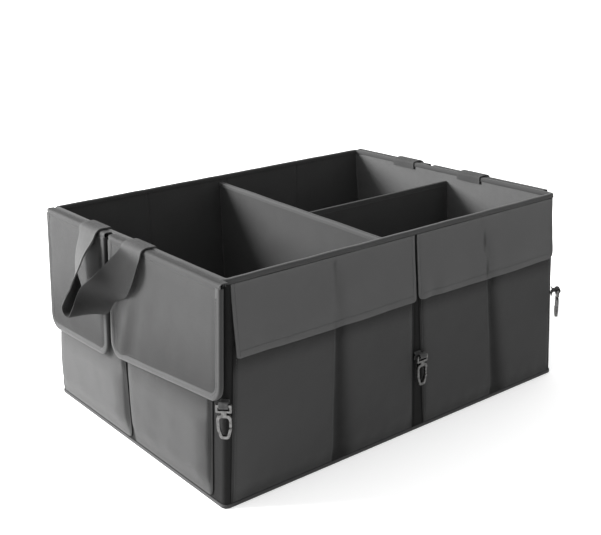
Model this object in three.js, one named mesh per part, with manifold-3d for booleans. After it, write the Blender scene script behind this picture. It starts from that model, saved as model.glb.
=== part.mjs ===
// Folding fabric trunk organizer: a stiffened tub with three compartments, end flaps, pockets,
// carry handles and snap hooks. Millimetres, +Z up, X along the length with the near end at -X,
// the pocketed front side at -Y, and the origin below the middle of the whole.
import * as THREE from 'three';
import { mergeVertices } from 'three/addons/utils/BufferGeometryUtils.js';
import Module from 'manifold-3d';

const wasm = await Module();
wasm.setup();

// Overall size, over the outer fabric
const rimLength = 606;
const width = 456;
const height = 300;
const endLean = 16; // each end wall's foot stands this far outside its rim
const cornerRadius = 8;

// Thicknesses
const gap = 0.3;
const cloth = 1.2;
const liningCloth = 1.0;
const boardThickness = 2.5;
const tape = 0.8;
const webbing = 2.0;

// Folds of the long walls, and the dividers
const foldWidth = 5;
const nearFoldX = -145;
const middleFoldX = 8;
const farFoldX = 156;
const crossMiddleX = -17;
const crossSkew = 25; // how far the cross divider's back end stands beyond its front end
const crossDrop = 11; // the dividers' tops below the rim
const longDrop = 19;
const longDividerY = -5;
const floorBoardThickness = 3;

// Bound edges
const rimTapeHeight = 6;
const footTapeHeight = 5;
const flapTapeWidth = 9;

// End flaps, measured down from the rim and across the end
const flapThickness = 5;
const flapStandoff = 7.9;
const rearFlap = { low: 46, high: 226, dropLow: 182, dropHigh: 186 };
const frontFlap = { high: 34, dropLow: 152, dropHigh: 172 };
const nearFlapLow = -236;
const farFlapLow = -204;
const flapCornerRadius = 22;
const flapBoard = 2;

// End pockets under the flaps, which bulge below the flaps' edges
const endPocketMouth = 95; // below the rim
const endPocketBulge = 12;
const endPocketCorner = 14;
const rearPocket = { lowTop: 26, lowFoot: 3, high: 221, bulgeTop: 189 };
const frontPocket = { low: -203, highTop: 20, highFoot: -3, bulgeTop: 175 };

// Front pockets and the two covers that hang over their mouths
const frontPocketDepth = 6.2;
const frontPocketDrop = 84; // the mouths below the rim
const nearGroup = {
  lowTop: -rimLength / 2 + 7,
  lowFoot: -rimLength / 2 - 7,
  highTop: 2,
  highFoot: 5,
  seamTop: -141,
  seamFoot: -148,
};
const farGroup = {
  lowTop: 14,
  lowFoot: 27,
  highTop: rimLength / 2 - 4,
  highFoot: rimLength / 2 + 6,
  seamTop: 146,
  seamFoot: 168,
};
const seamWidth = 3;
const nearCover = { low: -rimLength / 2 + 7, high: 4 };
const farCover = { low: 9, high: rimLength / 2 - 7 };
const coverThickness = 2.4;
const coverDrop = 100; // the covers' feet below the rim
const coverLean = 7; // how far the cover's foot stands outside its top

// Carry handles
const strapWidth = 50;
// Each strap's two ends, and how far the middle of the hanging loop stands off the flaps
const nearStraps = { rear: 85.8, front: -36, reach: 25 };
const farStraps = { rear: 94, front: -58, reach: 30 };
const strapTail = 10;
const loopDrop = 116;

// Snap hooks on webbing tabs, one at each front corner and one on the front side
const hookWidth = 20;
const hookLength = 44;
const hookPlate = 4;
const hookStandoff = 10.5;
const barHeight = 3;
const tabWidth = 12;
const tabThickness = 1.5;
const tabTail = 8; // the sewn part of the tab, below the bar
const middleHookX = 13;
const cornerTurn = Math.PI / 4;
const nearHookDrop = 155; // below the rim
const middleHookDrop = 182;
const farHookDrop = 158;

// What follows from the sizes
const wall = cloth + gap + boardThickness + gap + liningCloth;
const boardInset = cloth + gap;
const liningInset = boardInset + boardThickness + gap;
const leanAngle = Math.atan2(endLean, height);
const taped = gap + tape;
const wallTop = height - taped;
const crossTop = height - crossDrop;
const longTop = height - longDrop;
const coverFoot = height - coverDrop;
const frontPocketTop = height - frontPocketDrop;
const floorTop = boardInset + liningCloth;
const floorBoardTop = floorTop + gap + floorBoardThickness;
const dividerFoot = floorBoardTop + gap;
const innerY = width / 2 - wall;
const strapSeat = gap + (wall + taped + gap) * Math.sin(leanAngle); // the straps' underside above the rim
const endPocketDepth = flapStandoff - taped - gap - 0.1;
const past = 40; // how far a cutting shape runs past what it cuts
const tabBore = barHeight / 2 + hookPlate / 2 - 0.4;
const frontReach = width / 2 + hookStandoff + tabBore + tabThickness;
const backReach = width / 2 + taped;

const leanAt = (z) => endLean * (1 - z / height);
const endX = (inset, z) => rimLength / 2 - inset + leanAt(z);

const colours = {
  outer: { color: 0x4a4a4c, roughness: 0.9, metalness: 0 },
  lining: { color: 0x2b2b2d, roughness: 0.95, metalness: 0 },
  pocket: { color: 0x444446, roughness: 0.9, metalness: 0 },
  flap: { color: 0x6c6c6e, roughness: 0.85, metalness: 0 },
  binding: { color: 0x5a5a5c, roughness: 0.8, metalness: 0 },
  webbing: { color: 0x505052, roughness: 0.8, metalness: 0 },
  board: { color: 0x1e1e20, roughness: 0.6, metalness: 0 },
  steel: { color: 0xb4b4b6, roughness: 0.3, metalness: 1 },
};

// The whole, and in it the tub's own frame, whose y is 0 halfway between the long walls
const organizer = new THREE.Group();
const model = new THREE.Group();
model.position.y = (frontReach - backReach) / 2;
organizer.add(model);

// Where each moving piece turns, in the frame of the whole
const pivots = {};

function addPivot(name, frame, x, y, z) {
  frame.updateWorldMatrix(true, false);
  pivots[name] = frame.localToWorld(new THREE.Vector3(x, y, z));
}

// A polygon with its corners rounded: radii holds one radius for each corner
function rounded(points, radii, steps = 5) {
  const result = [];
  points.forEach((point, i) => {
    const corner = new THREE.Vector2(...point);
    const before = new THREE.Vector2(...points[(i + points.length - 1) % points.length]);
    const after = new THREE.Vector2(...points[(i + 1) % points.length]);
    const radius = radii[i];
    if (!radius) {
      result.push(point);
      return;
    }
    const back = before.sub(corner).normalize();
    const on = after.sub(corner).normalize();
    const half = Math.acos(back.dot(on)) / 2;
    const centre = corner.clone().add(back.clone().add(on).setLength(radius / Math.sin(half)));
    const start = corner.clone().addScaledVector(back, radius / Math.tan(half)).sub(centre);
    const end = corner.clone().addScaledVector(on, radius / Math.tan(half)).sub(centre);
    const sweep = Math.PI - 2 * half;
    for (let k = 0; k <= steps; k++) {
      const share = k / steps;
      const spoke = start.clone().multiplyScalar(Math.sin((1 - share) * sweep) / Math.sin(sweep));
      spoke.addScaledVector(end, Math.sin(share * sweep) / Math.sin(sweep)).add(centre);
      result.push([spoke.x, spoke.y]);
    }
  });
  return result;
}

// three.js geometry to a manifold solid and back
function solidOf(geometry) {
  const bare = geometry.clone();
  bare.deleteAttribute('normal');
  bare.deleteAttribute('uv');
  const merged = mergeVertices(bare, 1e-4);
  return new wasm.Manifold(
    new wasm.Mesh({
      numProp: 3,
      vertProperties: merged.attributes.position.array,
      triVerts: new Uint32Array(merged.index.array),
    }),
  );
}

function geometryOf(solid) {
  const mesh = solid.getMesh();
  const geometry = new THREE.BufferGeometry();
  geometry.setAttribute('position', new THREE.BufferAttribute(mesh.vertProperties, 3));
  geometry.setIndex(new THREE.BufferAttribute(mesh.triVerts, 1));
  geometry.computeVertexNormals();
  return geometry;
}

// An outline pulled straight along an axis. Its points are [x, y] along z, [x, z] along y
// and [y, z] along x.
function slab(axis, points, from, to) {
  const order = axis === 'y' ? points.map(([x, z]) => [z, x]) : points;
  const shape = new THREE.Shape(order.map(([a, b]) => new THREE.Vector2(a, b)));
  const geometry = new THREE.ExtrudeGeometry(shape, { depth: to - from, bevelEnabled: false });
  geometry.translate(0, 0, from);
  const x = new THREE.Vector3(1, 0, 0);
  const y = new THREE.Vector3(0, 1, 0);
  const z = new THREE.Vector3(0, 0, 1);
  const basis = new THREE.Matrix4();
  if (axis === 'y') basis.makeBasis(z, x, y);
  if (axis === 'x') basis.makeBasis(y, z, x);
  return solidOf(geometry.applyMatrix4(basis));
}

const rectangle = (a0, b0, a1, b1) => [[a0, b0], [a1, b0], [a1, b1], [a0, b1]];

function add(parent, name, shape, colour) {
  const geometry = shape.isBufferGeometry ? shape : geometryOf(shape);
  const material = new THREE.MeshStandardMaterial(colours[colour]);
  const mesh = new THREE.Mesh(geometry, material);
  mesh.name = name;
  parent.add(mesh);
  return mesh;
}

// A block with the tub's own plan, inset from the outer fabric, whose ends lean
function block(inset, zLow, zHigh) {
  const halfX = rimLength / 2 - inset;
  const halfY = width / 2 - inset;
  const radius = Math.max(cornerRadius - inset, 1);
  const plan = rounded(rectangle(-halfX, -halfY, halfX, halfY), Array(4).fill(radius), 3);
  const shape = new THREE.Shape(plan.map(([x, y]) => new THREE.Vector2(x, y)));
  const options = { depth: zHigh - zLow, bevelEnabled: false };
  const geometry = new THREE.ExtrudeGeometry(shape, options).translate(0, 0, zLow);
  const position = geometry.attributes.position;
  for (let i = 0; i < position.count; i++) {
    const x = position.getX(i);
    position.setX(i, x + Math.sign(x) * leanAt(position.getZ(i)));
  }
  return solidOf(geometry);
}

// Tub, lining, bound rim and bound foot
function addTub() {
  const shell = block(0, 0, wallTop).subtract(block(cloth, cloth, height + past));
  add(model, 'outer_shell', shell, 'outer');
  const lining = block(liningInset, boardInset, wallTop);
  add(model, 'lining', lining.subtract(block(wall, floorTop, height + past)), 'lining');
  const rim = block(-taped, height - rimTapeHeight, height);
  const rimHollow = block(wall + taped, -past, height + past);
  const rimSlot = block(-gap, -past, height - tape).subtract(block(wall + gap, -past, height + past));
  add(model, 'rim_binding', rim.subtract(rimHollow).subtract(rimSlot), 'binding');
  const foot = block(-taped, 0, footTapeHeight).subtract(block(-gap, -past, height));
  add(model, 'foot_binding', foot, 'binding');
}

// Stiff boards between the two fabrics
function addWallBoards() {
  const low = boardInset;
  const high = wallTop;
  const folds = [nearFoldX, middleFoldX, farFoldX];
  const half = foldWidth / 2;
  const outer = width / 2 - boardInset;
  const starts = [(z) => -endX(cornerRadius, z), ...folds.map((x) => () => x + half)];
  const ends = [...folds.map((x) => () => x - half), (z) => endX(cornerRadius, z)];
  starts.forEach((start, i) => {
    const end = ends[i];
    const outline = [[start(low), low], [end(low), low], [end(high), high], [start(high), high]];
    const front = slab('y', outline, -outer, -outer + boardThickness);
    const back = slab('y', outline, outer - boardThickness, outer);
    add(model, `front_board_${i + 1}`, front, 'board');
    add(model, `back_board_${i + 1}`, back, 'board');
  });
  const reach = width / 2 - cornerRadius;
  for (const [name, side] of [['near_end_board', -1], ['far_end_board', 1]]) {
    const faces = [endX(boardInset, low), endX(boardInset, high)];
    const outline = [
      [side * faces[0], low],
      [side * (faces[0] - boardThickness), low],
      [side * (faces[1] - boardThickness), high],
      [side * faces[1], high],
    ];
    add(model, name, slab('y', outline, -reach, reach), 'board');
  }
}

// Loose boards on the floor, one each side of the middle
function addFloorBoards() {
  const low = floorTop + gap;
  const reach = innerY - gap;
  const end = endX(wall + gap, floorBoardTop);
  for (const [name, from, to] of [
    ['near_floor_board', -end, crossMiddleX - gap],
    ['far_floor_board', end, crossMiddleX + gap],
  ]) {
    const radii = [cornerRadius, 0, 0, cornerRadius];
    const plan = rounded(rectangle(from, -reach, to, reach), radii, 3);
    add(model, name, slab('z', plan, low, floorBoardTop), 'board');
  }
}

const crossX = (y) => crossMiddleX + (crossSkew * y) / width;

// A slab along the cross divider's skewed line
function crossSlab(half, reach, zLow, zHigh) {
  const plan = [
    [crossX(-reach) - half, -reach],
    [crossX(-reach) + half, -reach],
    [crossX(reach) + half, reach],
    [crossX(reach) - half, reach],
  ];
  return slab('z', plan, zLow, zHigh);
}

// A divider is a fabric sleeve, open below, over a board. The cross divider has a bound top.
const sleeveHalf = boardThickness / 2 + gap + cloth;

function addCrossDivider() {
  const reach = innerY - gap;
  const sleeveTop = crossTop - taped;
  const slot = crossSlab(boardThickness / 2 + gap, reach - cloth, -past, sleeveTop - cloth);
  const sleeve = crossSlab(sleeveHalf, reach, dividerFoot, sleeveTop).subtract(slot);
  add(model, 'cross_divider_sleeve', sleeve, 'lining');
  const boardTop = sleeveTop - cloth - gap;
  const board = crossSlab(boardThickness / 2, reach - cloth - gap, dividerFoot, boardTop);
  add(model, 'cross_divider_board', board, 'board');
  const channel = crossSlab(sleeveHalf + gap, reach + past, -past, crossTop - tape);
  const cap = crossSlab(sleeveHalf + taped, reach, crossTop - rimTapeHeight, crossTop);
  add(model, 'cross_divider_binding', cap.subtract(channel), 'binding');
}

function addLongDivider() {
  const start = crossX(longDividerY) + sleeveHalf + taped + gap + 0.2;
  const outline = (inset, foot) => [
    [start + inset, foot],
    [endX(wall + gap + inset, foot), foot],
    [endX(wall + gap + inset, longTop - inset), longTop - inset],
    [start + inset, longTop - inset],
  ];
  const strip = (inset, foot, half) =>
    slab('y', outline(inset, foot), longDividerY - half, longDividerY + half);
  const slot = strip(cloth, -past, boardThickness / 2 + gap);
  const sleeve = strip(0, dividerFoot, sleeveHalf).subtract(slot);
  add(model, 'long_divider_sleeve', sleeve, 'lining');
  const board = strip(cloth + gap, dividerFoot, boardThickness / 2);
  add(model, 'long_divider_board', board, 'board');
}

// The end's own frame: x outward from the outer fabric, z up along the leaning wall from the rim
function endFrame(side) {
  const mirror = new THREE.Group();
  mirror.scale.x = side;
  model.add(mirror);
  const frame = new THREE.Group();
  frame.position.set(rimLength / 2, 0, height);
  frame.rotation.y = -leanAngle;
  mirror.add(frame);
  return frame;
}

// A flap: a folded fabric cover with a board in it, and tape round its free edges
function addFlap(frame, name, size) {
  const inside = flapStandoff;
  const outside = flapStandoff + flapThickness;
  const deepest = Math.max(size.dropLow, size.dropHigh);
  const start = taped + gap;
  const top = -gap;
  const foldHeight = 3;
  const fold = rounded(
    [
      [start, top],
      [outside, top],
      [outside, -deepest],
      [inside, -deepest],
      [inside, top - foldHeight],
      [start, top - foldHeight],
    ],
    [0, flapThickness, 0, 0, 0, 0],
  );
  const outline = (offset, above, radius) =>
    rounded(
      [
        [size.low - offset, above],
        [size.low - offset, -size.dropLow - offset],
        [size.high + offset, -size.dropHigh - offset],
        [size.high + offset, above],
      ],
      [0, radius, radius, 0],
    );
  const radiusAt = (offset) => flapCornerRadius + offset;
  const sheet = (offset, above, from, to) =>
    slab('x', outline(offset, above, radiusAt(offset)), from, to);
  const whole = sheet(0, past, -past, past).intersect(slab('y', fold, size.low, size.high));
  const pocketTop = -foldHeight - 6;
  const pocketSides = rectangle(size.low + cloth, -deepest - past, size.high - cloth, pocketTop);
  const pocket = slab('x', pocketSides, inside + cloth, outside - cloth);
  add(frame, name, whole.subtract(pocket), 'flap');
  const middle = (inside + outside) / 2;
  const boardInsetHere = cloth + gap;
  const board = sheet(-boardInsetHere, pocketTop - gap, middle - flapBoard / 2, middle + flapBoard / 2);
  add(frame, `${name}_board`, board, 'board');
  const band = sheet(taped, pocketTop, inside - taped, outside + taped);
  const bandHole = sheet(-flapTapeWidth, past, -past, past);
  const channel = sheet(gap, past, inside - gap, outside + gap);
  add(frame, `${name}_binding`, band.subtract(bandHole).subtract(channel), 'binding');
}

// An open-topped pocket of one cloth, sewn to the wall round its sides and foot. It lies flat
// under the flap, bulges below the flap's edge and comes back to the wall at its foot.
function addEndPocket(frame, name, side) {
  const mouth = -endPocketMouth;
  const foot = -height + footTapeHeight + 2;
  const profile = (inset) =>
    rounded(
      [
        [-past, mouth + past],
        [endPocketDepth - inset, mouth + past],
        [endPocketDepth - inset, -side.bulgeTop],
        [endPocketBulge - inset, -side.bulgeTop - 18],
        [endPocketBulge - inset, foot + 34],
        [endPocketDepth - inset, foot],
        [-past, foot],
      ],
      [0, 0, 4, 12, 20, 0, 0],
    );
  const bulge = (inset) => slab('y', profile(inset), -width / 2, width / 2);
  const shape = (inset, top, low) =>
    rounded(
      [
        [side.lowFoot + inset, low],
        [side.highFoot - inset, low],
        [side.highTop - inset, top],
        [side.lowTop + inset, top],
      ],
      [endPocketCorner - inset, endPocketCorner - inset, 0, 0],
      3,
    );
  const whole = slab('x', shape(0, mouth, foot), gap, past).intersect(bulge(0));
  const hollow = slab('x', shape(cloth, mouth + 1, foot + cloth), -past, past);
  add(frame, name, whole.subtract(hollow.intersect(bulge(cloth))), 'pocket');
}

// The strap's fixed end: up inside the wall and out over the rim
function addStrapEnd(frame, name, y) {
  const inner = -(wall + taped + gap);
  const start = taped - gap;
  const outline = rounded(
    [
      [inner - webbing, -strapTail],
      [inner, -strapTail],
      [inner, strapSeat],
      [start, strapSeat],
      [start, strapSeat + webbing],
      [inner - webbing, strapSeat + webbing],
    ],
    [0, 0, 0, 0, 0, webbing],
    3,
  );
  add(frame, name, slab('y', outline, y - strapWidth / 2, y + strapWidth / 2), 'webbing');
}

// The strap's free loop: a flat band that leaves the rim across the fold, turns edge-on as it
// comes down, hangs open at the bottom and lies slanting on its way up
function loopGeometry({ rear, front, reach }) {
  const start = taped;
  const centre = strapSeat + webbing / 2;
  const face = flapStandoff + flapThickness + taped + gap + webbing / 2;
  // Shares of the reach, of the way from the front end to the rear end and of the drop, and the
  // turn of the band in degrees
  const hanging = [
    [0.48, 1.016, 0.27, 15],
    [0.72, 1.025, 0.45, 22],
    [0.88, 1.025, 0.62, 34],
    [0.96, 1.016, 0.8, 52],
    [1, 0.951, 0.95, 76],
    [1, 0.787, 1, 98],
    [0.92, 0.647, 0.9, 118],
    [0.82, 0.507, 0.69, 138],
    [0.62, 0.213, 0.47, 154],
    [0.38, 0.059, 0.26, 168],
  ].map(([out, along, down, turn]) => [
    face + out * reach,
    front + along * (rear - front),
    -down * loopDrop,
    turn,
  ]);
  const stations = [
    [start, rear, centre, 0],
    [face - 5, rear, centre - 0.4, 0],
    [face + 0.4, rear, centre - 4, 0],
    [face + 4, rear, -13, 6],
    ...hanging,
    [face + 3.5, front + 0.8, -12, 178],
    [face + 0.4, front, centre - 4, 180],
    [face - 5, front, centre - 0.4, 180],
    [start, front, centre, 180],
  ];
  const line = new THREE.CatmullRomCurve3(
    stations.map(([x, y, z]) => new THREE.Vector3(x, y, z)),
    false,
    'centripetal',
  );
  const perSpan = 3;
  const spans = stations.length - 1;
  const vertices = [];
  for (let k = 0; k <= spans * perSpan; k++) {
    const t = k / (spans * perSpan);
    const span = Math.min(Math.floor(k / perSpan), spans - 1);
    const share = k / perSpan - span;
    const turn = stations[span][3] * (1 - share) + stations[span + 1][3] * share;
    const angle = THREE.MathUtils.degToRad(turn);
    const along = line.getTangent(t);
    const across = new THREE.Vector3(Math.sin(angle), -Math.cos(angle), 0);
    across.addScaledVector(along, -across.dot(along)).setLength(strapWidth / 2);
    const out = across.clone().cross(along).setLength(webbing / 2);
    const middle = line.getPoint(t);
    for (const [a, o] of [[-1, -1], [1, -1], [1, 1], [-1, 1]]) {
      vertices.push(middle.clone().addScaledVector(across, a).addScaledVector(out, o));
    }
  }
  // The band's two faces are split along the same diagonals, so that its thickness stays even
  const faces = [];
  const last = vertices.length - 4;
  for (let ring = 0; ring < last; ring += 4) {
    for (let i = 0; i < 4; i++) {
      const a = ring + i;
      const b = ring + ((i + 1) % 4);
      if (i === 2) faces.push(a, b + 4, b, a, a + 4, b + 4);
      else faces.push(a, a + 4, b, b, a + 4, b + 4);
    }
  }
  faces.push(0, 1, 2, 0, 2, 3, last, last + 2, last + 1, last, last + 3, last + 2);
  const geometry = new THREE.BufferGeometry().setFromPoints(vertices);
  geometry.setIndex(faces);
  geometry.computeVertexNormals();
  return geometry;
}

function addEnd(name, side, straps, flapLow) {
  const frame = endFrame(side);
  addFlap(frame, `${name}_rear_flap`, rearFlap);
  addFlap(frame, `${name}_front_flap`, { ...frontFlap, low: flapLow });
  const rear = { ...rearPocket, highTop: rearPocket.high, highFoot: rearPocket.high };
  const front = { ...frontPocket, lowTop: frontPocket.low, lowFoot: frontPocket.low };
  addEndPocket(frame, `${name}_rear_pocket`, rear);
  addEndPocket(frame, `${name}_front_pocket`, front);
  addStrapEnd(frame, `${name}_rear_strap_end`, straps.rear);
  addStrapEnd(frame, `${name}_front_strap_end`, straps.front);
  add(frame, `${name}_handle`, loopGeometry(straps), 'webbing');
  addPivot(`${name}_end`, frame, taped - gap / 2, 0, strapSeat + webbing + gap / 2);
}

// A front pocket group: one cloth sewn down its middle into two pockets
function addFrontPockets(name, group) {
  const foot = footTapeHeight + 1.5;
  const outside = -width / 2 - frontPocketDepth;
  const inside = -width / 2 - gap;
  const between = (atFoot, atTop, z) =>
    atFoot + ((atTop - atFoot) * (z - foot)) / (frontPocketTop - foot);
  const lowAt = (z) => between(group.lowFoot, group.lowTop, z);
  const highAt = (z) => between(group.highFoot, group.highTop, z);
  const outline = (low, high, inset) => [
    [lowAt(low) + inset, low],
    [highAt(low) - inset, low],
    [highAt(high) - inset, high],
    [lowAt(high) + inset, high],
  ];
  const whole = slab('y', outline(foot, frontPocketTop, 0), outside, inside);
  const hollowOutline = outline(foot + cloth, frontPocketTop + 1, cloth);
  const hollow = slab('y', hollowOutline, outside + cloth, inside + past);
  const seamHalf = seamWidth / 2;
  const seamOutline = [
    [group.seamFoot - seamHalf, foot],
    [group.seamFoot + seamHalf, foot],
    [group.seamTop + seamHalf, frontPocketTop],
    [group.seamTop - seamHalf, frontPocketTop],
  ];
  add(model, name, whole.subtract(hollow).add(slab('y', seamOutline, outside, inside)), 'pocket');
}

// A cover hangs from below the bound rim, a little outward, over the pockets' mouths
function addCover(name, { low, high }) {
  const radius = coverThickness / 2;
  const hinge = {
    y: -width / 2 - taped - gap - radius,
    z: height - rimTapeHeight - gap - radius,
  };
  const drop = hinge.z - coverFoot;
  const profile = rounded(
    [
      [-radius, radius],
      [radius, radius],
      [radius - coverLean, -drop],
      [-radius - coverLean, -drop],
    ],
    [radius * 0.98, radius * 0.98, 0.5, 0.5],
    4,
  ).map(([y, z]) => [y + hinge.y, z + hinge.z]);
  const cornerCut = 8;
  const outline = rounded(
    [[low, hinge.z + past], [low, coverFoot], [high, coverFoot], [high, hinge.z + past]],
    [0, cornerCut, cornerCut, 0],
  );
  const cover = slab('x', profile, low, high).intersect(slab('y', outline, -width, 0));
  add(model, name, cover, 'outer');
  addPivot(name, model, 0, hinge.y, hinge.z);
}

// A webbing tab, a snap hook that swings in it, and the hook's sprung gate. The tab is sewn at the
// place given, the hook hangs in front of it in the turned frame, and the bar is the origin.
function addHook(name, x, y, z, turn) {
  const frame = new THREE.Group();
  frame.position.set(x + hookStandoff * Math.sin(turn), y - hookStandoff * Math.cos(turn), z);
  frame.rotation.z = turn;
  model.add(frame);
  const circle = (radius, count) =>
    Array.from({ length: count }, (_, k) => {
      const angle = (2 * Math.PI * k) / count;
      return [radius * Math.cos(angle), radius * Math.sin(angle)];
    });
  const half = tabWidth / 2;
  const back = hookStandoff - gap;
  const ring = slab('x', circle(tabBore + tabThickness, 16), -half, half);
  const tongue = slab('x', rectangle(tabBore, -tabThickness, back, tabThickness), -half, half);
  const sewn = slab('x', rectangle(back - tabThickness, -tabTail, back, tabTail / 2), -half, half);
  const hole = slab('x', circle(tabBore, 16), -past, past);
  add(frame, `${name}_tab`, ring.add(tongue).add(sewn).subtract(hole), 'webbing');

  const thick = hookPlate / 2;
  const plate = (outline, reach = thick) => slab('y', outline, -reach, reach);
  const eyeHalf = hookWidth / 2;
  const side = 2.6;
  const eyeTop = barHeight / 2;
  const eyeFoot = -9;
  const eye = plate(rounded(rectangle(-eyeHalf, eyeFoot, eyeHalf, eyeTop), Array(4).fill(1.4), 3));
  const inEye = rectangle(-eyeHalf + side, eyeFoot + side, eyeHalf - side, -eyeTop);
  const window = plate(rounded(inEye, Array(4).fill(0.8), 3), past);
  const neck = plate(rectangle(-3.2, eyeFoot - 6, 3.2, eyeFoot + 1));
  const bowTop = eyeFoot - 3;
  const bowHalf = hookWidth / 2 - 0.6;
  const bowFootHalf = 5.5;
  const arm = 3.6;
  const mouthTop = bowTop - arm - 2.5;
  const mouthFoot = mouthTop - 12;
  const bowOutline = (inset) =>
    rounded(
      [
        [-bowFootHalf + inset * 0.7, -hookLength + inset],
        [bowFootHalf - inset * 0.7, -hookLength + inset],
        [bowHalf - inset, mouthFoot],
        [bowHalf - inset, bowTop - inset],
        [-bowHalf + inset, bowTop - inset],
        [-bowHalf + inset, mouthFoot],
      ],
      [4, 4, 6, 5, 5, 6].map((radius) => radius - inset * 0.6),
      3,
    );
  const bow = plate(bowOutline(0)).subtract(plate(bowOutline(arm), past));
  const mouth = plate(rectangle(bowHalf - arm - 1, mouthFoot, bowHalf + past, mouthTop), past);
  const hook = eye.subtract(window).add(neck.subtract(plate(bowOutline(arm), past))).add(bow);
  add(frame, name, hook.subtract(mouth), 'steel');

  const gateX = bowHalf - arm / 2;
  const gateHalf = 1.5;
  const gateLow = mouthFoot + gap;
  const gateShape = rounded(
    rectangle(gateX - gateHalf, gateLow, gateX + gateHalf, mouthTop - gap),
    [gateHalf * 0.98, gateHalf * 0.98, 0.5, 0.5],
    4,
  );
  add(frame, `${name}_gate`, plate(gateShape, 1.4), 'steel');
  addPivot(name, frame, 0, 0, 0);
  addPivot(`${name}_gate`, frame, gateX, 0, gateLow + gateHalf);
}

// A corner hook's tab lies across the rounded corner and stands clear of the lean at its foot
function addCornerHook(name, side, z) {
  const footX = endX(cornerRadius, z - tabTail);
  const diagonal = cornerRadius * Math.SQRT1_2;
  const x = side * (footX + diagonal);
  addHook(name, x, -width / 2 + cornerRadius - diagonal, z, side * cornerTurn);
}

addTub();
addWallBoards();
addFloorBoards();
addCrossDivider();
addLongDivider();
addEnd('near', -1, nearStraps, nearFlapLow);
addEnd('far', 1, farStraps, farFlapLow);
addFrontPockets('near_front_pockets', nearGroup);
addFrontPockets('far_front_pockets', farGroup);
addCover('near_cover', nearCover);
addCover('far_cover', farCover);
addCornerHook('near_hook', -1, height - nearHookDrop);
addHook('middle_hook', middleHookX, -width / 2, height - middleHookDrop, 0);
addCornerHook('far_hook', 1, height - farHookDrop);

organizer.userData.pivots = pivots;

export default organizer;
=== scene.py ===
import math

import bmesh
import bpy
import numpy as np
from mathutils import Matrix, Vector


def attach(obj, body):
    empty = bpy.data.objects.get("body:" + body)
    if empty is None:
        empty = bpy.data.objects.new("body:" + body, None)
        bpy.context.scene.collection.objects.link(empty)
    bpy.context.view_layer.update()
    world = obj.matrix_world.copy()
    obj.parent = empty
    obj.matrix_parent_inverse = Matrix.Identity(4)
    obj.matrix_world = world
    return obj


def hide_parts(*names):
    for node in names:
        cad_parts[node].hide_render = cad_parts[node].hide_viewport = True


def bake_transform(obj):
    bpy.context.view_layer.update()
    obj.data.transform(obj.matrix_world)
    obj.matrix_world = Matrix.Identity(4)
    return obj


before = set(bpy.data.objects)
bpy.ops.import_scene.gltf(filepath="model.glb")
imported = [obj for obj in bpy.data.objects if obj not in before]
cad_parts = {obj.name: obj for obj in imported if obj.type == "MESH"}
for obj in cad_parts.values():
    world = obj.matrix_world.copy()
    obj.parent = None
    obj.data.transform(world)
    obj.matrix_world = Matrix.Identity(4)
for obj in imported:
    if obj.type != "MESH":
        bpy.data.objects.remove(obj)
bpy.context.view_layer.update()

# Sizes of the frame's solids, in millimetres. An end's foot stands LEAN further out than its rim.
RIM_X, WIDTH, HEIGHT, LEAN = 303.0, 456.0, 300.0, 16.0
FACE = WIDTH / 2
ALPHA = math.atan2(LEAN, HEIGHT)
CORNER = 8.0
FOLDS = (-145.0, 8.0, 156.0)  # x of the upright folds in the long walls
WALL = 5.3
TAPED = 1.1  # how far a bound edge stands out from its wall
GAP = 0.3  # between sewn pieces
CROSS_X, CROSS_SKEW, CROSS_TOP = -17.0, 25.0, 289.0
LONG_Y, LONG_TOP = -5.0, 281.0
DIVIDER_HALF, DIVIDER_FOOT = 2.75, 6.3
FLAP_IN, FLAP_OUT, FLAP_RADIUS, FLAP_BEND = 7.9, 12.9, 22.0, 4.5
FLAPS = {  # low y, high y, and the drop at each of them
    "near": {"rear": (46.0, 226.0, 182.0, 186.0), "front": (-236.0, 34.0, 152.0, 172.0)},
    "far": {"rear": (46.0, 226.0, 182.0, 186.0), "front": (-204.0, 34.0, 152.0, 172.0)},
}
END_POCKET_TOP, END_POCKET_FOOT, END_POCKET_CORNER = 95.0, 293.0, 9.0
END_POCKETS = {  # low y at mouth and foot, high y at mouth and foot, and how far down the bulge begins
    "rear": (26.0, 3.0, 221.0, 221.0, 190.0),
    "front": (-203.0, -203.0, 20.0, -3.0, 176.0),
}
RIM_TAPE, FOOT_TAPE = 6.0, 5.0
POCKET_FOOT, POCKET_TOP = FOOT_TAPE + 1.5, 216.0
GROUPS = {  # x of the front pockets' edges and seams, at the mouth and at the foot
    "near": dict(low=(-296.0, -310.0), high=(2.0, 5.0), seam=(-141.0, -148.0)),
    "far": dict(low=(14.0, 27.0), high=(299.0, 309.0), seam=(146.0, 168.0)),
}
COVER_FOOT = 200.0
COVERS = {"near": (-296.0, 4.0), "far": (9.0, 296.0)}
COVER_CORNER = {"near": 5.0, "far": 9.0}
STRAP = 50.0
# y of each strap end's middle, and how far out and down the loop hangs from it
STRAPS = {"near": {"rear": 85.8, "front": -36.0}, "far": {"rear": 94.0, "front": -58.0}}
LOOP_REACH, LOOP_DROP = {"near": 25.0, "far": 30.0}, 116.0
STRAP_SEAT = GAP + (WALL + TAPED + GAP) * math.sin(ALPHA)
HOOKS = {  # the eye's x, y and z, and the turn of the tab
    "near_hook": (-316.775, -233.081, 145.0, -math.pi / 4),
    "middle_hook": (13.0, -238.5, 118.0, 0.0),
    "far_hook": (316.935, -233.081, 142.0, math.pi / 4),
}
STITCH_PITCH, STITCH_LENGTH, STITCH_WIDTH, STITCH_HEIGHT = 4.2, 3.0, 0.75, 0.5
STITCH_SECTIONS = ((-0.5, 0.25, -0.2), (-0.32, 1, 0.8), (0, 1, 1), (0.32, 1, 0.8), (0.5, 0.25, -0.2))
SHARP_ANGLE = 0.7
SHIFT = 7.0  # the tub's own y 0 stands this far toward +Y in the frame

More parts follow.
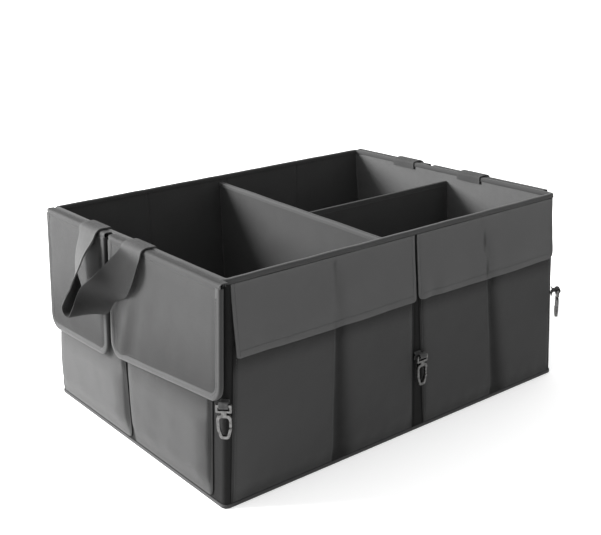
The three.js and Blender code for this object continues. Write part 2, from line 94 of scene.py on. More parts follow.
# Flat sizes of cloths that the shapes don't give, in metres
POCKET_CUT, COVER_CUT, END_POCKET_CUT = 0.212, 0.095, 0.206

# The camera's angles in degrees, its distance and the offsets of its aim in metres
AZIMUTH, ELEVATION, ROLL = -38.009, 18.387, -1.244
DISTANCE, AIM_RIGHT, AIM_UP = 1.561, -0.01, 0.04
FOCAL_PIXELS, PICTURE_PIXELS, SENSOR = 1000.739, 601, 36


# Camera
def add_camera():
    """The view that the picture has, with its roll."""
    azimuth, elevation, roll = (math.radians(a) for a in (AZIMUTH, ELEVATION, ROLL))
    back = Vector((
        math.sin(azimuth) * math.cos(elevation),
        -math.cos(azimuth) * math.cos(elevation),
        math.sin(elevation),
    ))
    right = Vector((math.cos(azimuth), math.sin(azimuth), 0))
    up = back.cross(right)
    aim = Vector((0, SHIFT / 1000, HEIGHT / 2000)) + right * AIM_RIGHT + up * AIM_UP
    columns = (
        right * math.cos(roll) + up * math.sin(roll),
        up * math.cos(roll) - right * math.sin(roll),
        back,
        aim + back * DISTANCE,
    )
    data = bpy.data.cameras.new("camera")
    data.sensor_width = SENSOR
    data.lens = FOCAL_PIXELS / PICTURE_PIXELS * SENSOR
    camera = bpy.data.objects.new("camera", data)
    bpy.context.scene.collection.objects.link(camera)
    matrix = camera.matrix_world.copy()
    for row in range(3):
        for column in range(4):
            matrix[row][column] = columns[column][row]
    camera.matrix_world = matrix
    bpy.context.scene.camera = camera


# Materials
class Nodes:
    """A material and short calls that add nodes to it."""

    def __init__(self, name):
        self.material = bpy.data.materials.new(name)
        self.material.use_nodes = True
        self.tree = self.material.node_tree
        self.shader = self.tree.nodes["Principled BSDF"]
        coordinates = self.add("TexCoord").outputs
        self.place, self.cloth = coordinates["Object"], coordinates["UV"]

    def join(self, value, socket):
        if hasattr(value, "is_output"):
            self.tree.links.new(value, socket)
        else:
            socket.default_value = value

    def set(self, key, value):
        self.join(value, self.shader.inputs[key])

    def add(self, kind, **inputs):
        node = self.tree.nodes.new(f"ShaderNode{kind}")
        for key, value in inputs.items():
            self.join(value, node.inputs[key])
        return node

    def math(self, operation, a, b=0.0, clamp=False):
        node = self.add("Math")
        node.operation, node.use_clamp = operation, clamp
        self.join(a, node.inputs[0])
        self.join(b, node.inputs[1])
        return node.outputs[0]

    def sum(self, *parts):
        """The values added up, each times its share."""
        total, *others = [self.math("MULTIPLY", value, share) for value, share in parts]
        for part in others:
            total = self.math("ADD", total, part)
        return total

    def wave(self, value, period):
        return self.math("SINE", self.math("MULTIPLY", value, 2 * math.pi / period))

    def noise(self, vector, scale, detail=3.0, rough=0.5):
        return self.add("TexNoise", Vector=vector, Scale=scale, Detail=detail, Roughness=rough).outputs["Fac"]

    def split(self, vector):
        return self.add("SeparateXYZ", Vector=vector).outputs

    def attribute(self, name):
        node = self.add("Attribute")
        node.attribute_name = name
        return node.outputs["Fac"]

    def ramp(self, value, low, high, out_low, out_high):
        limits = {"From Min": low, "From Max": high, "To Min": out_low, "To Max": out_high}
        return self.add("MapRange", Value=value, **limits).outputs["Result"]

    def colour(self, dark, light, share):
        node = self.add("Mix")
        node.data_type = "RGBA"
        for key, value in (("Factor", share), ("A", dark), ("B", light)):
            self.join(value, node.inputs[key])
        return node.outputs["Result"]

    def bump(self, height, distance, strength=1.0, before=None):
        node = self.add("Bump", Height=height, Distance=distance, Strength=strength)
        if before is not None:
            self.join(before, node.inputs["Normal"])
        return node.outputs["Normal"]


def grey(level, warm=0.0):
    return (level * (1 + warm), level, level * (1 - warm), 1)


def cloth_material(
    name, level, period=0.0009, weave=0.00012, rough=0.82, sheen=0.15, mottle=0.16, wear=0.35, gloss=0.35,
):
    """Woven coated cloth: a plain weave along the sheet's own lengths, soft mottling, paler worn edges, and
    painted shade from the fold attribute. Where wear is set high, the paler edges also paint a highlight.
    """
    n = Nodes(name)
    across, down = n.split(n.cloth)[:2]
    thread = n.math("MULTIPLY", n.wave(across, period), n.wave(down, period))
    soft, fine = n.noise(n.place, 14, 3), n.noise(n.place, 170, 4, 0.65)
    tone = n.sum((soft, 0.5), (fine, 0.35), (n.noise(n.cloth, 900, 2, 0.6), 0.15))
    body = n.colour(grey(level * (1 - mottle)), grey(level * (1 + mottle)), n.ramp(tone, 0.3, 0.7, 0, 1))
    woven = n.colour(body, grey(level * 1.35), n.ramp(thread, 0.1, 1.0, 0, 0.3))
    edge = n.math("MULTIPLY", n.attribute("edge"), n.ramp(fine, 0.35, 0.65, 0.4, 1.0), clamp=True)
    worn = n.colour(woven, grey(min(level * 2.3 + 0.02, 1)), n.math("MULTIPLY", edge, wear))
    # Painted shade: where the fold attribute is set, the colour darkens and the specular drops.
    shade = n.math("MULTIPLY", n.attribute("fold"), 0.85, clamp=True)
    n.set("Base Color", n.colour(worn, grey(level * 0.3), shade))
    n.set("Roughness", n.ramp(tone, 0.3, 0.7, rough - 0.07, rough + 0.06))
    n.set("Sheen Weight", sheen)
    n.set("Sheen Roughness", 0.45)
    n.set("Specular IOR Level", n.ramp(n.attribute("fold"), 0, 1, gloss, gloss * 0.1))
    crumple = n.bump(n.noise(n.place, 38, 3, 0.55), 0.0016, 0.35)
    n.set("Normal", n.bump(thread, weave, 0.8, crumple))
    return n.material


def ribbed_material(name, level, rib=0.0016, pick=0.0008, depth=0.0002, rough=0.7, sheen=0.1, gloss=0.35):
    """Webbing or binding tape: ribs along its length, fine picks across, fuzzed edges, and painted shade from
    the fold attribute.
    """
    n = Nodes(name)
    across, down = n.split(n.cloth)[:2]
    ribs, picks = n.wave(across, rib), n.wave(down, pick)
    height = n.sum((ribs, 0.7), (n.math("MULTIPLY", picks, ribs), 0.3))
    tone = n.sum((n.noise(n.place, 22, 3), 0.6), (n.noise(n.place, 260, 3, 0.6), 0.4))
    body = n.colour(grey(level * 0.8), grey(level * 1.22), n.ramp(tone, 0.32, 0.68, 0, 1))
    ribbed = n.colour(body, grey(level * 1.5), n.ramp(height, 0.0, 1.0, 0, 0.35))
    edge = n.math("MULTIPLY", n.attribute("edge"), 0.4, clamp=True)
    worn = n.colour(ribbed, grey(min(level * 2.2, 1)), edge)
    # Painted shade: where the fold attribute is set, the colour darkens and the specular drops.
    shade = n.math("MULTIPLY", n.attribute("fold"), 0.9, clamp=True)
    n.set("Base Color", n.colour(worn, grey(level * 0.2), shade))
    n.set("Roughness", n.ramp(tone, 0.3, 0.7, rough - 0.08, rough + 0.08))
    n.set("Sheen Weight", sheen)
    n.set("Specular IOR Level", n.ramp(n.attribute("fold"), 0, 1, gloss, gloss * 0.1))
    n.set("Normal", n.bump(height, depth, 0.9))
    return n.material


def thread_material(name, level):
    """Twisted sewing thread."""
    n = Nodes(name)
    x, _, z = n.split(n.place)
    ply = n.wave(n.math("ADD", x, z), 0.0007)
    n.set("Base Color", n.colour(grey(level * 0.7), grey(level * 1.3), n.ramp(ply, -1, 1, 0, 1)))
    n.set("Roughness", 0.6)
    n.set("Normal", n.bump(ply, 0.0001, 0.6))
    return n.material


def board_material(name):
    """Black-coated stiff board with faint fibres and scuffs."""
    n = Nodes(name)
    fibre, scuff = n.noise(n.place, 120, 5, 0.7), n.noise(n.place, 11, 5, 0.75)
    tone = n.sum((fibre, 0.5), (scuff, 0.5))
    n.set("Base Color", n.colour(grey(0.016), grey(0.034), n.ramp(tone, 0.35, 0.65, 0, 1)))
    n.set("Roughness", n.ramp(scuff, 0.35, 0.65, 0.55, 0.8))
    n.set("Normal", n.bump(fibre, 0.0002, 0.5))
    return n.material


def metal_material(name):
    """Dark-plated steel, satin, with fine scratches and dull patches."""
    n = Nodes(name)
    patch, scratch = n.noise(n.place, 260, 4, 0.6), n.noise(n.place, 2600, 2, 0.5)
    n.set("Base Color", n.colour(grey(0.05, 0.02), grey(0.17, 0.01), n.ramp(patch, 0.3, 0.7, 0, 1)))
    n.set("Metallic", 1)
    n.set("Roughness", n.ramp(patch, 0.3, 0.7, 0.3, 0.5))
    n.set("Normal", n.bump(scratch, 0.00004, 0.5))
    return n.material


TAPE_WEAVE = dict(rib=0.0011, pick=0.0008, depth=0.00008)
SKIN = {
    "outer": cloth_material("outer_cloth", 0.008, sheen=0.02, wear=0.05, gloss=0.08),
    "lining": cloth_material("lining_cloth", 0.034, rough=0.86, sheen=0.03, gloss=0.15),
    # Painted light: a lighter copy of the lining cloth for the end walls' inside, standing in for the lamp's
    # light on the far end wall.
    "end_lining_painted_light": cloth_material("end_lining_painted_light_cloth", 0.072, rough=0.86, sheen=0.03, gloss=0.2),
    "pocket": cloth_material("pocket_cloth", 0.021, sheen=0.06, wear=0.2, gloss=0.25),
    "end_pocket": cloth_material("end_pocket_cloth", 0.041, sheen=0.05, wear=0.2, gloss=0.2),
    "cover": cloth_material("cover_cloth", 0.036, wear=0.15),
    # The flap cloth's strong pale edges (wear 0.8) are partly wear and partly a painted highlight along the
    # flap's fold over the rim.
    "flap": cloth_material(
        "flap_cloth", 0.0145, period=0.0007, weave=0.00006, rough=0.62,
        sheen=0.03, mottle=0.14, wear=0.8, gloss=0.14,
    ),
    "tape": ribbed_material("binding_tape_weave", 0.021, rough=0.68, gloss=0.2, **TAPE_WEAVE),
    "flap_tape": ribbed_material("flap_tape_weave", 0.0155, rough=0.65, gloss=0.18, **TAPE_WEAVE),
    "webbing": ribbed_material("strap_webbing", 0.03, sheen=0.04, gloss=0.18),
    "thread": thread_material("sewing_thread", 0.02),
    "board": board_material("stiff_board"),
    "metal": metal_material("plated_steel"),
}


# Mesh helpers: everything is built in millimetres
def waves(a, b, size, seed, count=7):
    """Smooth noise between about -1 and 1 over two lengths in millimetres."""
    rng = np.random.default_rng(seed)
    total = np.zeros(np.broadcast(a, b).shape)
    for _ in range(count):
        angle, phase = rng.uniform(0, 2 * math.pi, 2)
        length = size * rng.uniform(0.7, 1.7)
        total = total + np.sin((a * math.cos(angle) + b * math.sin(angle)) * 2 * math.pi / length + phase)
    return total / math.sqrt(count) / 1.3


def dip(value, width):
    """1 at 0, and next to nothing two widths away."""
    return np.exp(-((value / width) ** 2))


def step(value, width):
    """0 at and below 0, 1 at and above width, smooth between."""
    t = np.clip(value / width, 0, 1)
    return t * t * (3 - 2 * t)


def rounded(near, radius):
    """How far a rounded corner takes an edge back, at a distance from its side."""
    cut = np.maximum(radius - near, 0)
    return radius - np.sqrt(np.maximum(radius**2 - cut**2, 0))


def unit(vectors):
    """Each vector made 1 long."""
    return vectors / np.maximum(np.linalg.norm(vectors, axis=-1, keepdims=True), 1e-9)


def same(direction, count):
    return np.tile(np.array(direction, float), (count, 1))


def ring(rows):
    """The rows, with the first again at the end."""
    return np.concatenate([rows, rows[:1]])


def normals_of(points, wrap=False):
    """Normals of a grid of points."""
    down = np.gradient(points, axis=0)
    if wrap:
        across = (np.roll(points, -1, 1) - np.roll(points, 1, 1)) / 2
    else:
        across = np.gradient(points, axis=1)
    return unit(np.cross(across, down))


def grid_faces(rows, cols, offset=0, flip=False, wrap=False):
    """Quads of a grid of vertices; wrap joins its last column to its first."""
    i, j = np.meshgrid(np.arange(rows - 1), np.arange(cols if wrap else cols - 1), indexing="ij")
    a, b = i * cols + j, i * cols + (j + 1) % cols
    quads = np.stack([a, b, b + cols, a + cols], -1).reshape(-1, 4) + offset
    return quads[:, ::-1] if flip else quads


def run_lengths(points, axis):
    """How far each point of a grid lies along its row or column."""
    steps = np.linalg.norm(np.diff(points, axis=axis), axis=-1)
    pad = [(0, 0), (0, 0)]
    pad[axis] = (1, 0)
    return np.cumsum(np.pad(steps, pad), axis=axis)


def make_object(name, vertices, faces, uv=None, edge=None, fold=None):
    """A mesh object from millimetres; uv in millimetres, edge and fold from 0 to 1 are given per vertex, fold
    being painted shade.
    """
    mesh = bpy.data.meshes.new(name)
    placed = (np.asarray(vertices) + [0, SHIFT, 0]) * 0.001
    mesh.from_pydata(placed.tolist(), [], [list(map(int, f)) for f in faces])
    for key, values in (("edge", edge), ("fold", fold)):
        if values is not None:
            attribute = mesh.attributes.new(key, "FLOAT", "POINT")
            attribute.data.foreach_set("value", np.asarray(values, np.float32))
    if uv is not None:
        corner = np.zeros(len(mesh.loops), np.int32)
        mesh.loops.foreach_get("vertex_index", corner)
        layer = mesh.uv_layers.new(name="cloth")
        layer.data.foreach_set("uv", (np.asarray(uv, np.float32)[corner] * 0.001).ravel())
    work = bmesh.new()
    work.from_mesh(mesh)
    bmesh.ops.recalc_face_normals(work, faces=work.faces)
    work.to_mesh(mesh)
    work.free()
    mesh.polygons.foreach_set("use_smooth", np.ones(len(mesh.polygons), bool))
    mesh.set_sharp_from_angle(angle=SHARP_ANGLE)
    piece = bpy.data.objects.new(name, mesh)
    bpy.context.scene.collection.objects.link(piece)
    return piece


def cloth_sheet(name, points, thickness=1.0, wrap=False, edge_width=2.5, fold=None):
    """A sheet of cloth from a rows x cols x 3 grid of its outer face."""
    rows, cols, _ = points.shape
    inner = points - thickness * normals_of(points, wrap)
    count = rows * cols
    faces = [grid_faces(rows, cols, 0, False, wrap), grid_faces(rows, cols, count, True, wrap)]

    def close(a, b):
        faces.append(np.stack([a, b, b + count, a + count], 1))

    j = np.arange(cols if wrap else cols - 1)
    k, last = (j + 1) % cols, (rows - 1) * cols
    close(k, j)
    close(j + last, k + last)
    if not wrap:
        i = np.arange(rows - 1) * cols
        close(i, i + cols)
        close(i + 2 * cols - 1, i + cols - 1)
    u, v = run_lengths(points, 1), run_lengths(points, 0)
    near = np.minimum(v, v[-1:] - v)
    if not wrap:
        near = np.minimum(near, np.minimum(u, u[:, -1:] - u))
    edge = np.exp(-near / edge_width).ravel()
    uv = np.stack([u.ravel(), v.ravel()], 1)
    vertices = np.concatenate([points.reshape(-1, 3), inner.reshape(-1, 3)])
    fold = None if fold is None else np.tile(np.clip(fold, 0, 1).ravel(), 2)
    return make_object(name, vertices, np.concatenate(faces), np.tile(uv, (2, 1)), np.tile(edge, 2), fold)


def swept(name, path, across, out, profile, edge, closed=False, fold=None):
    """A closed profile, of (across, out) offsets, swept along a path."""
    profile = np.array(profile, float)
    points = path[:, None] + profile[None, :, :1] * across[:, None] + profile[None, :, 1:] * out[:, None]
    rows, cols = points.shape[:2]
    if closed:
        points = ring(points)
        rows += 1
    faces = grid_faces(rows, cols, 0, False, True).tolist()
    uv = np.stack([run_lengths(points, 1).ravel(), run_lengths(points, 0).ravel()], 1)
    vertices = points.reshape(-1, 3)
    if closed:
        last = (rows - 1) * cols
        faces = [[v - last if v >= last else v for v in f] for f in faces]
        vertices, uv = vertices[:last], uv[:last]
    else:
        faces += [list(range(cols))[::-1], list(range((rows - 1) * cols, rows * cols))]
    fold = None if fold is None else np.repeat(np.clip(fold, 0, 1), cols)
    return make_object(name, vertices, faces, uv, np.tile(edge, len(vertices) // cols), fold)


def along(path, out, pitch):
    """Points, directions and outward normals at an even pitch along a polyline."""
    length = np.concatenate([[0], np.cumsum(np.linalg.norm(np.diff(path, axis=0), axis=1))])
    at = np.arange(pitch / 2, length[-1], pitch)

    def values(rows, places):
        return np.stack([np.interp(places, length, rows[:, k]) for k in range(3)], 1)

    ahead, behind = values(path, at + 0.4), values(path, at - 0.4)
    return values(path, at), unit(ahead - behind), unit(values(out, at))


def stitches(name, runs, body):
    """Rows of raised stitches; runs is a list of (path, outward normals)."""
    vertices, faces = [], []
    for path, out in runs:
        where, direction, n = along(path, out, STITCH_PITCH)
        for w, d, o, s in zip(where, direction, n, np.cross(n, direction)):
            base = len(vertices)
            for share, wide, tall in STITCH_SECTIONS:
                middle = w + d * share * STITCH_LENGTH
                half, sunk = s * wide * STITCH_WIDTH / 2, middle - o * 0.15
                vertices += [sunk - half, middle + o * tall * STITCH_HEIGHT, sunk + half]
            for a in range(base, base + 12, 3):
                for p, q in ((0, 1), (1, 2), (2, 0)):
                    faces.append([a + p, a + q, a + 3 + q, a + 3 + p])
            faces += [[base, base + 2, base + 1], [base + 12, base + 13, base + 14]]
    dress(make_object(name, vertices, faces), body, "binding_tape", "thread")


def paint(piece, skin):
    piece.data.materials.clear()
    piece.data.materials.append(SKIN[skin])


def dress(piece, body, slot, skin, *nodes):
    """Gives a piece its material and the body it rides on, and hides the solids it stands for."""
    paint(piece, skin)
    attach(piece, body)
    if nodes:
        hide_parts(*nodes)


# The tub's cloths
def lean_at(z):
    """How much further out than the rim an end wall stands at height z."""
    return LEAN * (1 - z / HEIGHT)


def spread(low, high, pitch, marks=(), fine=(1.2, 2.6, 4.5, 8)):
    """Values from low to high at a pitch, denser at the marks."""
    values = list(np.linspace(low, high, max(int(round((high - low) / pitch)), 1) + 1))
    for mark in marks:
        for off in (0, *fine, *(-f for f in fine)):
            if low < mark + off < high:
                values.append(mark + off)
    values = np.array(sorted(values))
    return values[np.concatenate([[True], np.diff(values) > 0.05 * pitch])]


def tub_loop(inset, pitch):
    """Plan of the tub at the rim, counter-clockwise from the near front corner: x, y, outward nx, ny."""
    half_x, half_y, radius = RIM_X - inset, FACE - inset, max(CORNER - inset, 1.0)
    rows = []

    def straight(start, end, normal, marks=()):
        length = math.dist(start, end)
        for t in spread(0, length, pitch, marks)[:-1] / length:
            rows.append([start[0] + (end[0] - start[0]) * t, start[1] + (end[1] - start[1]) * t, *normal])

    def corner(cx, cy, angle):
        for k in range(6):
            a = math.radians(angle + 90 * k / 6)
            rows.append([cx + radius * math.cos(a), cy + radius * math.sin(a), math.cos(a), math.sin(a)])

    cx, cy = half_x - radius, half_y - radius
    corner(-cx, -cy, 180)
    straight((-cx, -half_y), (cx, -half_y), (0, -1), [f + cx for f in FOLDS])
    corner(cx, -cy, 270)
    straight((half_x, -cy), (half_x, cy), (1, 0))
    corner(cx, cy, 0)
    straight((cx, half_y), (-cx, half_y), (0, 1), [cx - f for f in FOLDS])
    corner(-cx, cy, 90)
    straight((-half_x, cy), (-half_x, -cy), (-1, 0))
    return np.array(rows)


def tub_grid(inset, heights, pitch=6.0):
    """Grid of points and outward normals round the leaning walls."""
    loop = tub_loop(inset, pitch)
    z = np.asarray(heights)[:, None]
    half = RIM_X - inset
    x = loop[None, :, 0] * (1 + lean_at(z) / half)
    y = np.repeat(loop[None, :, 1], len(heights), 0)
    points = np.stack([x, y, np.repeat(z, len(loop), 1)], -1)
    out = np.stack([loop[:, 2], loop[:, 3], np.zeros(len(loop))], -1)
    return points, np.repeat(out[None], len(heights), 0)


def wall_relief(points, out, seed, crease, swell):
    """How far a wall's cloth stands outward: slack between the folds, a crease at each fold."""
    x, y, z = points[..., 0], points[..., 1], points[..., 2]
    long_wall = np.abs(out[..., 1]) ** 4
    run = np.where(long_wall > 0.5, x, y)
    relief = swell * (waves(run, z, 150, seed) + 0.4 * waves(run, z, 42, seed + 1))
    fade = step(z - 6, 22) * step(HEIGHT - z, 18)
    relief = relief * fade
    for k, fold in enumerate(FOLDS):
        drift = 0.8 * waves(z, z * 0, 120, seed + 10 + k)
        relief = relief + crease * long_wall * dip(x - fold - drift, 1.9)
    return relief


def floor_grid(end_inset, side_inset, pitch):
    x = spread(-RIM_X - LEAN + end_inset, RIM_X + LEAN - end_inset, pitch)
    return np.meshgrid(x, spread(-FACE + side_inset, FACE - side_inset, pitch))


def add_tub():
    """The outer cloth and the lining, each as walls and a floor."""
    heights = spread(0.9, HEIGHT - 1.1, 6.5)
    points, out = tub_grid(0, heights)
    relief = wall_relief(points, out, 3, -1.5, 0.3)
    walls = cloth_sheet("outer_cloth_walls", points + out * relief[..., None], 1.0, wrap=True)
    dress(walls, "tub", "outer_fabric", "outer", "outer_shell")
    gx, gy = floor_grid(1.5, 0.6, 13)
    under = 0.35 + 0.25 * (1 + waves(gx, gy, 90, 21))
    base = cloth_sheet("outer_cloth_floor", np.stack([gx, -gy, under], -1), 0.7)
    dress(base, "tub", "outer_fabric", "outer")

    heights = spread(2.6, HEIGHT - 1.1, 6.5)
    points, out = tub_grid(WALL - 1.0, heights)
    relief = wall_relief(points, out, 5, 1.3, 0.35)
    inward = points + out * relief[..., None] - out * 1.0
    walls = cloth_sheet("lining_walls", inward[:, ::-1], 0.9, wrap=True)
    dress(walls, "tub", "lining_fabric", "lining", "lining")
    # Painted light: the lining faces on the end walls take the lighter copy of the lining cloth.
    walls.data.materials.append(SKIN["end_lining_painted_light"])
    for face in walls.data.polygons:
        face.material_index = int(abs(face.normal.x) > 0.7)
    gx, gy = floor_grid(6.4, 6, 16)
    floor = cloth_sheet("lining_floor", np.stack([gx, gy, 2.2 + 0.1 * waves(gx, gy, 70, 8)], -1), 0.7)
    dress(floor, "tub", "lining_fabric", "lining")


def tub_path(inset, z, wobble=0.0):
    """A path round the walls at height z, and its outward normals."""
    grid, out = tub_grid(inset, [z], 8)
    path = grid[0]
    path[:, 2] += wobble * waves(path[:, 0], path[:, 1], 60, 31)
    return path, out[0]


def add_tapes():
    """The bound rim, folded over both cloths, and the bound foot, each with its row of stitches."""
    path, out = tub_path(0, HEIGHT, 0.22)
    wall, low = WALL, RIM_TAPE
    profile = [
        (0.95, -low), (1.15, 0.4 - low), (1.1, -3.4), (1.1, -1.6), (0.5, -0.4), (-0.6, 0.15),
        (-wall / 2, 0.35), (-wall + 0.4, 0.15), (-wall - 0.6, -0.5), (-wall - 1.1, -1.6),
        (-wall - 1.1, 0.4 - low), (-wall - 0.9, -low), (-wall - 0.3, 0.2 - low), (-wall - 0.3, -1.4),
        (-wall / 2, -0.7), (0.3, -1.4), (0.3, 0.2 - low),
    ]
    edge = np.array([0.3, 0.2, 0, 0.1, 0.3, 0.2, 0.1, 0.2, 0.3, 0.1, 0.2, 0.3, 0, 0, 0, 0, 0])
    tape = swept("rim_tape", path, out, same((0, 0, 1), len(path)), profile, edge, closed=True)
    dress(tape, "tub", "binding_tape", "tape", "rim_binding")
    path, out = tub_path(0, 0)
    high = FOOT_TAPE
    profile = [
        (0.3, 0.1), (0.9, 0.0), (1.3, 0.8), (1.25, 2.8),
        (1.15, high - 0.5), (0.9, high), (0.3, high - 0.2), (0.3, 2.6),
    ]
    edge = np.array([0.1, 0.2, 0.3, 0.1, 0.2, 0.3, 0, 0])
    tape = swept("foot_tape", path, out, same((0, 0, 1), len(path)), profile, edge, closed=True)
    dress(tape, "tub", "binding_tape", "tape", "foot_binding")
    runs = []
    for inset, z, sign in ((-TAPED, HEIGHT - 4.6, 1), (WALL + TAPED, HEIGHT - 4.6, -1), (-1.2, 3.4, 1)):
        line, normal = tub_path(inset, z)
        runs.append((ring(line), sign * ring(normal)))
    stitches("tub_stitches", runs, "tub")


# Dividers
def slab_loop(half, low, high, soft):
    """Section of a divider from the foot of one face, over the top, to the foot of the other."""
    rows = [(-half, z) for z in spread(low, high - soft, 9)]
    for a in np.linspace(0.4, 1.57, 4):
        rows.append((-half + soft * (1 - math.cos(a)), high - soft + soft * math.sin(a)))
    return np.array(rows + [(-off, z) for off, z in rows[::-1]])


def add_divider(name, start, end, top, seed, nodes):
    """A divider's cloth, drawn over its board and sewn along both ends; start and end are (x, y)."""
    section = slab_loop(DIVIDER_HALF, DIVIDER_FOOT, top - TAPED, 1.2)
    start, end = np.array(start, float), np.array(end, float)
    length = np.linalg.norm(end - start)
    axis = (end - start) / length
    side = np.array([axis[1], -axis[0]])
    t = spread(0, length, 7)
    lean = lean_at(section[:, 1:]) if name == "long_divider" else 0 * section[:, 1:]
    run = t[None, :] * (1 + lean / length)
    z = np.repeat(section[:, 1:], len(t), 1)
    sign = np.sign(section[:, :1])
    slack = 0.45 * waves(run, z * sign, 120, seed) + 0.3 * waves(run, z * sign, 35, seed + 1)
    pucker = 0.5 * np.sin(run / 3.4) * dip(z - top + 22, 9) * waves(run, z, 60, seed + 2)
    fade = step(np.minimum(run, run[:, -1:] - run), 12) * step(top - z - 6, 14)
    off = section[:, :1] + sign * (np.abs(slack) * fade + pucker * fade)
    points = np.concatenate([start + axis * run[..., None] + side * off[..., None], z[..., None]], -1)
    piece = cloth_sheet(f"{name}_cloth", points, -0.7)
    dress(piece, "tub", "lining_fabric", "lining", *nodes)
    return side


def add_dividers():
    """Both dividers; only the cross one has a bound top."""
    reach = FACE - WALL - GAP
    ends = [(CROSS_X + CROSS_SKEW * y / WIDTH, y) for y in (-reach, reach)]
    side = add_divider("cross_divider", *ends, CROSS_TOP, 41, ["cross_divider_sleeve"])
    start, end = np.array(ends)
    t = np.linspace(0, 1, 60)[:, None]
    path = np.concatenate([start + (end - start) * t, np.full((60, 1), CROSS_TOP)], 1)
    path[:, 2] += 0.25 * waves(t[:, 0] * 440, t[:, 0], 70, 47)
    out = same((*side, 0), 60)
    profile = [
        (4.0, -6), (4.15, -3.4), (4.0, -1.2), (3.2, -0.1), (2.2, 0.15), (1.0, -0.25), (0, -1.3),
        (-1.0, -0.25), (-2.2, 0.15), (-3.2, -0.1), (-4.0, -1.2), (-4.15, -3.4), (-4.0, -6),
        (-3.1, -5.6), (-3.1, -2), (3.1, -2), (3.1, -5.6),
    ]
    edge = np.array([1, 0.2, 0.6, 1, 0.9, 0.2, 0, 0.2, 0.9, 1, 0.6, 0.2, 1, 0, 0, 0, 0])
    tape = swept("cross_divider_tape", path, out, same((0, 0, 1), 60), profile, edge)
    dress(tape, "tub", "binding_tape", "tape", "cross_divider_binding")
    line = path - [0, 0, 4.4]
    stitches("cross_divider_stitches", [(line + 4.15 * out, out), (line - 4.15 * out, -out)], "tub")

    x0 = CROSS_X + CROSS_SKEW * LONG_Y / WIDTH + 4.35
    x1 = RIM_X - WALL - GAP
    add_divider("long_divider", (x0, LONG_Y), (x1, LONG_Y), LONG_TOP + TAPED, 51, ["long_divider_sleeve"])
    t = np.linspace(x0 + 3, x1 - 3, 40)
    line = np.stack([t, t * 0 + LONG_Y, t * 0 + LONG_TOP - 7], 1)
    side = same((0, 1, 0), 40)
    stitches("long_divider_stitches", [(line + 3.1 * side, side), (line - 3.1 * side, -side)], "tub")


# Front pockets and their covers
def between(pair, z):
    """A leaning edge's x at height z, from its x at the pocket's mouth and at its foot."""
    top, foot = pair
    return foot + (top - foot) * (z - POCKET_FOOT) / (POCKET_TOP - POCKET_FOOT)


def group_grid(group, heights):
    """x over a pocket group: even between the edges, with columns close together at the seam."""
    z = heights[:, None]
    low, high, seam = (between(group[k], z) for k in ("low", "high", "seam"))
    t = spread(0, 1, 0.034, (0, 1), (0.004, 0.01, 0.022, 0.04))
    left = low + (seam - low) * t[None, :]
    right = seam + (high - seam) * t[None, 1:]
    return np.concatenate([left, right], 1), np.repeat(z, 2 * len(t) - 1, 1), low, high, seam


def ridge(x, seam, z):
    """The wall folds outward at a pocket seam: a soft ridge, steeper on its far side."""
    d = x - seam
    rise = np.where(d < 0, np.exp(d / 30), np.exp(-d / 9))
    hollow = dip(d - 14, 9 + 9 * (1 - z / POCKET_TOP))
    return rise, hollow


def add_front_pockets(name):
    """A cloth sewn down along a leaning seam, which makes two pockets of it."""
    group = GROUPS[name]
    x, z, low, high, seam = group_grid(group, spread(POCKET_FOOT, POCKET_TOP, 6))
    inside = step(np.minimum(x - low, high - x), 7)
    rise, hollow = ridge(x, seam, z)
    foot = step(z - POCKET_FOOT, 26)
    depth = 1.6 + foot * inside * (2.3 + 1.9 * rise - 1.5 * hollow)
    slack = 0.5 * waves(x, z, 110, len(name)) + 0.22 * waves(x, z, 34, 9 + len(name))
    depth = depth + foot * inside * slack
    tuck = 0.7 * np.sin((x - seam) / 5) * dip(z - POCKET_FOOT - 12, 11) * inside
    depth = np.clip(depth + tuck * 0.5, 1.2, 6.4)
    points = np.stack([x, -FACE - depth, z], -1)
    # Painted shade: the fold values darken the pocket cloth in a band just past the seam that widens towards
    # the foot, along the group's side edges, near the foot and in a band under the cover.
    valley = 9 + 12 * (1 - z / POCKET_TOP)
    fold = 0.95 * dip(x - seam - 3 - 0.5 * valley, valley) * step(x - seam, 3) + 0.6 * (1 - inside)
    fold = fold + 0.3 * (1 - step(z - POCKET_FOOT, 22)) + 0.6 * step(z - 172, 28)
    piece = cloth_sheet(f"{name}_pair_pocket_cloth", points, 1.0, fold=fold)
    dress(piece, "tub", "pocket_fabric", "pocket", f"{name}_front_pockets")
    normal = same((0, -1, 0), len(points))
    middle = int(np.argmin(np.abs(x[0] - seam[0])))
    runs = [(points[:, c] + 0.05 * normal, normal) for c in (3, len(points[0]) - 4, middle)]
    stitches(f"{name}_pair_pocket_stitches", runs, "tub")


